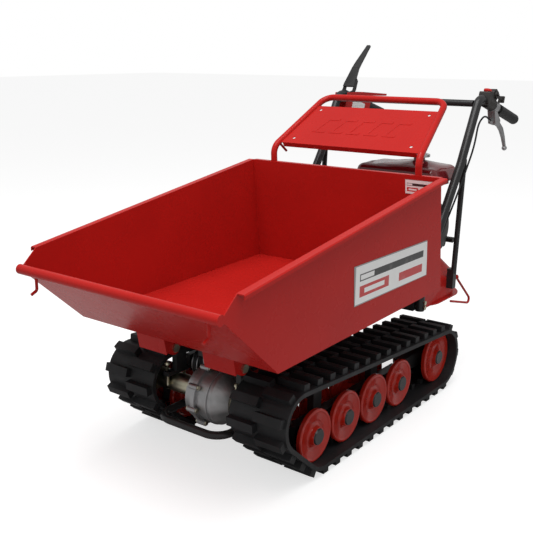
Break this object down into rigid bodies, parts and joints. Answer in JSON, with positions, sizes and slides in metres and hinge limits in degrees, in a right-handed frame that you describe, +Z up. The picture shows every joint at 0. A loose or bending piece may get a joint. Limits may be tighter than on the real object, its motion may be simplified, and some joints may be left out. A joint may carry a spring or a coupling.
{
  "type": "power wheelbarrow",
  "caption": "Tracked power wheelbarrow: open tipping bucket on a rubber-tracked chassis, engine on a rear housing, and two handles with steering, drive and stop controls.",
  "frame": {"origin": "centre of the bounding box on the ground, at the tips of the track lugs", "axes": "+Z up, -Y the way the bucket's lip faces, +X the machine's left"},
  "size_m": [0.7312, 1.738, 1.1139],
  "materials": {
    "red_paint": "glossy",
    "wheel_paint": "glossy",
    "tank_paint": "glossy",
    "black_paint": "satin",
    "rubber": "matte",
    "track_rubber": "matte",
    "cast_aluminium": "satin",
    "engine_casting": "satin",
    "zinc": "satin",
    "steel": "satin",
    "chrome": "polished",
    "black_plastic": "matte",
    "red_plastic": "glossy"
  },
  "bodies": {
    "chassis": {"chassis_frame": "black_paint", "front_bumper": "black_paint", "roller_beams": "black_paint", "wheel_axles": "steel", "axle_tubes": "zinc", "bolts": "zinc", "rest_pads": "rubber", "rear_housing": "red_paint", "drive_belts": "rubber", "engine_block": "engine_casting", "recoil_housing": "black_plastic", "fuel_tank": "tank_paint", "muffler": "steel", "air_cleaner": "black_plastic", "gearbox_left": "cast_aluminium", "gearbox_right": "cast_aluminium", "left_track": "track_rubber", "right_track": "track_rubber", "handlebars": "black_paint", "grips": "rubber", "cross_bar": "black_paint", "handle_braces": "black_paint", "lever_perches": "cast_aluminium", "steering_cables": "rubber", "switch_housing": "black_plastic", "drive_bracket": "black_paint", "control_box": "red_paint"},
    "bucket": {"bucket_shell": "red_paint", "hinge_brackets": "red_paint", "hinge_bolts": "zinc", "guard_hoop": "red_paint", "guard_panel": "red_paint"},
    "crank_pulley": {"crank_pulley": "steel"},
    "countershaft": {"countershaft": "steel"},
    "input_shaft": {"input_shaft": "steel"},
    "axle_gear": {"axle_gear": "steel"},
    "tension_arm": {"tension_arm": "black_paint"},
    "throttle_lever": {"throttle_lever": "black_plastic"},
    "stop_button": {"stop_button": "red_plastic"},
    "drive_lever": {"drive_lever": "black_paint"},
    "red_lever": {"red_lever": "red_paint"},
    "latch_loop": {"latch_loop": "red_paint"},
    "fuel_cap": {"fuel_cap": "chrome"},
    "recoil_handle": {"recoil_handle": "black_plastic"},
    "left_sprocket": {"left_sprocket": "steel"},
    "left_idler_fork": {"left_idler_fork": "black_paint"},
    "left_idler": {"left_idler": "wheel_paint"},
    "left_steering_lever": {"left_steering_lever": "cast_aluminium"},
    "left_wheel_1": {"left_wheel_1": "wheel_paint"},
    "left_wheel_2": {"left_wheel_2": "wheel_paint"},
    "left_wheel_3": {"left_wheel_3": "wheel_paint"},
    "left_wheel_4": {"left_wheel_4": "wheel_paint"},
    "right_sprocket": {"right_sprocket": "steel"},
    "right_idler_fork": {"right_idler_fork": "black_paint"},
    "right_idler": {"right_idler": "wheel_paint"},
    "right_steering_lever": {"right_steering_lever": "cast_aluminium"},
    "right_wheel_1": {"right_wheel_1": "wheel_paint"},
    "right_wheel_2": {"right_wheel_2": "wheel_paint"},
    "right_wheel_3": {"right_wheel_3": "wheel_paint"},
    "right_wheel_4": {"right_wheel_4": "wheel_paint"}
  },
  "joints": [
    {"name": "bucket_tip", "type": "hinge", "parent": "chassis", "child": "bucket", "pos_m": [0, -0.571, 0.32], "axis": [1, 0, 0], "range_deg": [0, 70]},
    {"name": "left_sprocket_spin", "type": "hinge", "parent": "chassis", "child": "left_sprocket", "pos_m": [0, -0.508, 0.188], "axis": [1, 0, 0], "continuous": true},
    {"name": "left_wheel_1_spin", "type": "hinge", "parent": "chassis", "child": "left_wheel_1", "pos_m": [0, -0.4055, 0.1045], "axis": [1, 0, 0], "continuous": true},
    {"name": "left_wheel_2_spin", "type": "hinge", "parent": "chassis", "child": "left_wheel_2", "pos_m": [0, -0.2508, 0.1045], "axis": [1, 0, 0], "continuous": true},
    {"name": "left_wheel_3_spin", "type": "hinge", "parent": "chassis", "child": "left_wheel_3", "pos_m": [0, -0.0961, 0.1045], "axis": [1, 0, 0], "continuous": true},
    {"name": "left_wheel_4_spin", "type": "hinge", "parent": "chassis", "child": "left_wheel_4", "pos_m": [0, 0.0586, 0.1045], "axis": [1, 0, 0], "continuous": true},
    {"name": "left_idler_slide", "type": "slide", "parent": "chassis", "child": "left_idler_fork", "axis": [0, 1, 0], "range_m": [-0.012, 0]},
    {"name": "left_idler_spin", "type": "hinge", "parent": "left_idler_fork", "child": "left_idler", "pos_m": [0, 0.311, 0.115], "axis": [1, 0, 0], "continuous": true},
    {"name": "left_steering", "type": "hinge", "parent": "chassis", "child": "left_steering_lever", "pos_m": [0, 0.694, 0.857], "axis": [1, 0, 0], "range_deg": [0, 18], "stiffness_Nm_per_rad": 2, "springref_deg": -5.73},
    {"name": "right_sprocket_spin", "type": "hinge", "parent": "chassis", "child": "right_sprocket", "pos_m": [0, -0.508, 0.188], "axis": [1, 0, 0], "continuous": true},
    {"name": "right_wheel_1_spin", "type": "hinge", "parent": "chassis", "child": "right_wheel_1", "pos_m": [0, -0.4055, 0.1045], "axis": [1, 0, 0], "continuous": true},
    {"name": "right_wheel_2_spin", "type": "hinge", "parent": "chassis", "child": "right_wheel_2", "pos_m": [0, -0.2508, 0.1045], "axis": [1, 0, 0], "continuous": true},
    {"name": "right_wheel_3_spin", "type": "hinge", "parent": "chassis", "child": "right_wheel_3", "pos_m": [0, -0.0961, 0.1045], "axis": [1, 0, 0], "continuous": true},
    {"name": "right_wheel_4_spin", "type": "hinge", "parent": "chassis", "child": "right_wheel_4", "pos_m": [0, 0.0586, 0.1045], "axis": [1, 0, 0], "continuous": true},
    {"name": "right_idler_slide", "type": "slide", "parent": "chassis", "child": "right_idler_fork", "axis": [0, 1, 0], "range_m": [-0.012, 0]},
    {"name": "right_idler_spin", "type": "hinge", "parent": "right_idler_fork", "child": "right_idler", "pos_m": [0, 0.311, 0.115], "axis": [1, 0, 0], "continuous": true},
    {"name": "right_steering", "type": "hinge", "parent": "chassis", "child": "right_steering_lever", "pos_m": [0, 0.694, 0.857], "axis": [1, 0, 0], "range_deg": [0, 18], "stiffness_Nm_per_rad": 2, "springref_deg": -5.73},
    {"name": "crank_spin", "type": "hinge", "parent": "chassis", "child": "crank_pulley", "pos_m": [0, 0.43, 0.516], "axis": [1, 0, 0], "continuous": true},
    {"name": "countershaft_spin", "type": "hinge", "parent": "chassis", "child": "countershaft", "pos_m": [0, 0.33, 0.345], "axis": [1, 0, 0], "continuous": true},
    {"name": "input_spin", "type": "hinge", "parent": "chassis", "child": "input_shaft", "pos_m": [0, -0.44781, 0.2422], "axis": [1, 0, 0], "continuous": true},
    {"name": "axle_gear_spin", "type": "hinge", "parent": "chassis", "child": "axle_gear", "pos_m": [0, -0.508, 0.188], "axis": [1, 0, 0], "continuous": true},
    {"name": "drive_lever_swing", "type": "hinge", "parent": "chassis", "child": "drive_lever", "pos_m": [0, 0.58543, 0.93789], "axis": [1, 0, 0], "range_deg": [-38, 0], "stiffness_Nm_per_rad": 2, "springref_deg": 28.65},
    {"name": "tension_arm_swing", "type": "hinge", "parent": "chassis", "child": "tension_arm", "pos_m": [0, 0.13, 0.318], "axis": [1, 0, 0], "range_deg": [0, 4.8]},
    {"name": "throttle_swing", "type": "hinge", "parent": "chassis", "child": "throttle_lever", "pos_m": [0, 0.63869, 0.94987], "axis": [1, 0, 0], "range_deg": [0, 35]},
    {"name": "stop_button_press", "type": "slide", "parent": "chassis", "child": "stop_button", "axis": [0, 0.2717, 0.9624], "range_m": [-0.003, 0], "stiffness_N_per_m": 800},
    {"name": "red_lever_press", "type": "hinge", "parent": "chassis", "child": "red_lever", "pos_m": [0, 0.67279, 0.93817], "axis": [1, 0, 0], "range_deg": [-9, 0], "stiffness_Nm_per_rad": 3, "springref_deg": 11.46},
    {"name": "latch_loop_lift", "type": "hinge", "parent": "chassis", "child": "latch_loop", "pos_m": [0, 0.47, 0.352], "axis": [1, 0, 0], "range_deg": [0, 30], "stiffness_Nm_per_rad": 0.5, "springref_deg": -11.46},
    {"name": "fuel_cap_turn", "type": "hinge", "parent": "chassis", "child": "fuel_cap", "pos_m": [0.152, 0.38, 0.757], "axis": [0, 0, 1], "continuous": true},
    {"name": "recoil_pull", "type": "slide", "parent": "chassis", "child": "recoil_handle", "axis": [0, 0.9397, 0.3419], "range_m": [0, 0.03], "stiffness_N_per_m": 100, "springref_m": -0.05}
  ],
  "couplings": [
    {"joint": "left_wheel_1_spin", "follows": "left_sprocket_spin", "ratio": 0.94907},
    {"joint": "left_wheel_2_spin", "follows": "left_sprocket_spin", "ratio": 0.94907},
    {"joint": "left_wheel_3_spin", "follows": "left_sprocket_spin", "ratio": 0.94907},
    {"joint": "left_wheel_4_spin", "follows": "left_sprocket_spin", "ratio": 0.94907},
    {"joint": "left_idler_spin", "follows": "left_sprocket_spin", "ratio": 0.83956},
    {"joint": "right_wheel_1_spin", "follows": "right_sprocket_spin", "ratio": 0.94907},
    {"joint": "right_wheel_2_spin", "follows": "right_sprocket_spin", "ratio": 0.94907},
    {"joint": "right_wheel_3_spin", "follows": "right_sprocket_spin", "ratio": 0.94907},
    {"joint": "right_wheel_4_spin", "follows": "right_sprocket_spin", "ratio": 0.94907},
    {"joint": "right_idler_spin", "follows": "right_sprocket_spin", "ratio": 0.83956},
    {"joint": "countershaft_spin", "follows": "crank_spin", "ratio": 0.7},
    {"joint": "input_spin", "follows": "crank_spin", "ratio": 0.54444},
    {"joint": "axle_gear_spin", "follows": "crank_spin", "ratio": -0.19056},
    {"joint": "tension_arm_swing", "follows": "drive_lever_swing", "ratio": -0.12632}
  ]
}
